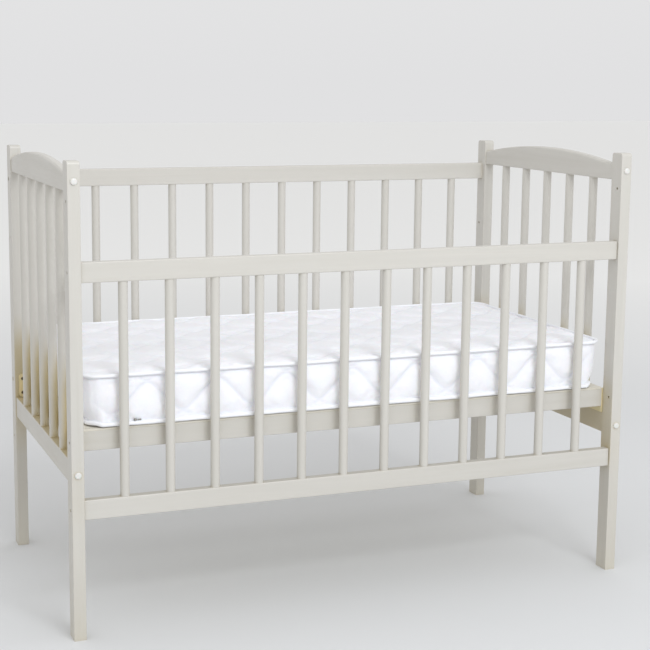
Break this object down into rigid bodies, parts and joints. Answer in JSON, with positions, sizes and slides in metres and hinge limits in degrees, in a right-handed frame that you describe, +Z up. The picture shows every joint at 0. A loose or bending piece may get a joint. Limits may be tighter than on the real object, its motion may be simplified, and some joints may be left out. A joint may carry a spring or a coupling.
{
  "type": "baby crib",
  "caption": "Painted wooden baby crib with arched ends, round bars, a front gate that drops, and a quilted mattress on a raised base.",
  "frame": {"origin": "bottom centre of the crib, on the floor", "axes": "+X along the length, -Y is the gate side, +Z up"},
  "size_m": [1.25, 0.668, 0.948],
  "materials": {
    "painted_wood": "satin cream paint over wood",
    "board": "sealed thin board",
    "cream_plastic": "moulded cream plastic",
    "white_plastic": "white domed cap",
    "zinc_steel": "zinc plated",
    "mattress_cover": "white quilted cover with piped edges"
  },
  "bodies": {
    "frame": {"post_front_left": "painted_wood", "post_front_right": "painted_wood", "post_rear_left": "painted_wood", "post_rear_right": "painted_wood", "rear_top_rail": "painted_wood", "rear_bottom_rail": "painted_wood", "rear_dowel_01": "painted_wood", "rear_dowel_02": "painted_wood", "rear_dowel_03": "painted_wood", "rear_dowel_04": "painted_wood", "rear_dowel_05": "painted_wood", "rear_dowel_06": "painted_wood", "rear_dowel_07": "painted_wood", "rear_dowel_08": "painted_wood", "rear_dowel_09": "painted_wood", "rear_dowel_10": "painted_wood", "rear_dowel_11": "painted_wood", "rear_dowel_12": "painted_wood", "end_left_arch_rail": "painted_wood", "end_left_bottom_rail": "painted_wood", "end_left_dowel_1": "painted_wood", "end_left_dowel_2": "painted_wood", "end_left_dowel_3": "painted_wood", "end_left_dowel_4": "painted_wood", "end_left_dowel_5": "painted_wood", "end_right_arch_rail": "painted_wood", "end_right_bottom_rail": "painted_wood", "end_right_dowel_1": "painted_wood", "end_right_dowel_2": "painted_wood", "end_right_dowel_3": "painted_wood", "end_right_dowel_4": "painted_wood", "end_right_dowel_5": "painted_wood", "base_front_rail": "painted_wood", "base_rear_rail": "painted_wood", "base_left_rail": "painted_wood", "base_right_rail": "painted_wood", "base_board": "board", "base_brackets": "cream_plastic", "base_screws": "zinc_steel", "frame_screws": "zinc_steel", "screw_caps": "white_plastic"},
    "gate": {"gate_top_rail": "painted_wood", "gate_bottom_rail": "painted_wood", "gate_dowel_01": "painted_wood", "gate_dowel_02": "painted_wood", "gate_dowel_03": "painted_wood", "gate_dowel_04": "painted_wood", "gate_dowel_05": "painted_wood", "gate_dowel_06": "painted_wood", "gate_dowel_07": "painted_wood", "gate_dowel_08": "painted_wood", "gate_dowel_09": "painted_wood", "gate_dowel_10": "painted_wood", "gate_dowel_11": "painted_wood", "gate_dowel_12": "painted_wood"},
    "gate_pin_top_left": {"gate_pin_top_left": "zinc_steel"},
    "gate_pin_top_right": {"gate_pin_top_right": "zinc_steel"},
    "gate_pin_bottom_left": {"gate_pin_bottom_left": "zinc_steel"},
    "gate_pin_bottom_right": {"gate_pin_bottom_right": "zinc_steel"},
    "mattress": {"mattress": "mattress_cover"}
  },
  "joints": [
    {"name": "gate_slide", "type": "slide", "parent": "frame", "child": "gate", "axis": [0, 0, 1], "range_m": [0, 0.136]},
    {"name": "gate_pin_top_left_slide", "type": "slide", "parent": "gate", "child": "gate_pin_top_left", "axis": [-1, 0, 0], "range_m": [0, 0.012]},
    {"name": "gate_pin_top_right_slide", "type": "slide", "parent": "gate", "child": "gate_pin_top_right", "axis": [1, 0, 0], "range_m": [0, 0.012]},
    {"name": "gate_pin_bottom_left_slide", "type": "slide", "parent": "gate", "child": "gate_pin_bottom_left", "axis": [-1, 0, 0], "range_m": [0, 0.012]},
    {"name": "gate_pin_bottom_right_slide", "type": "slide", "parent": "gate", "child": "gate_pin_bottom_right", "axis": [1, 0, 0], "range_m": [0, 0.012]},
    {"name": "mattress_lift", "type": "slide", "parent": "frame", "child": "mattress", "axis": [0, 0, 1], "range_m": [0, 0.55]}
  ]
}
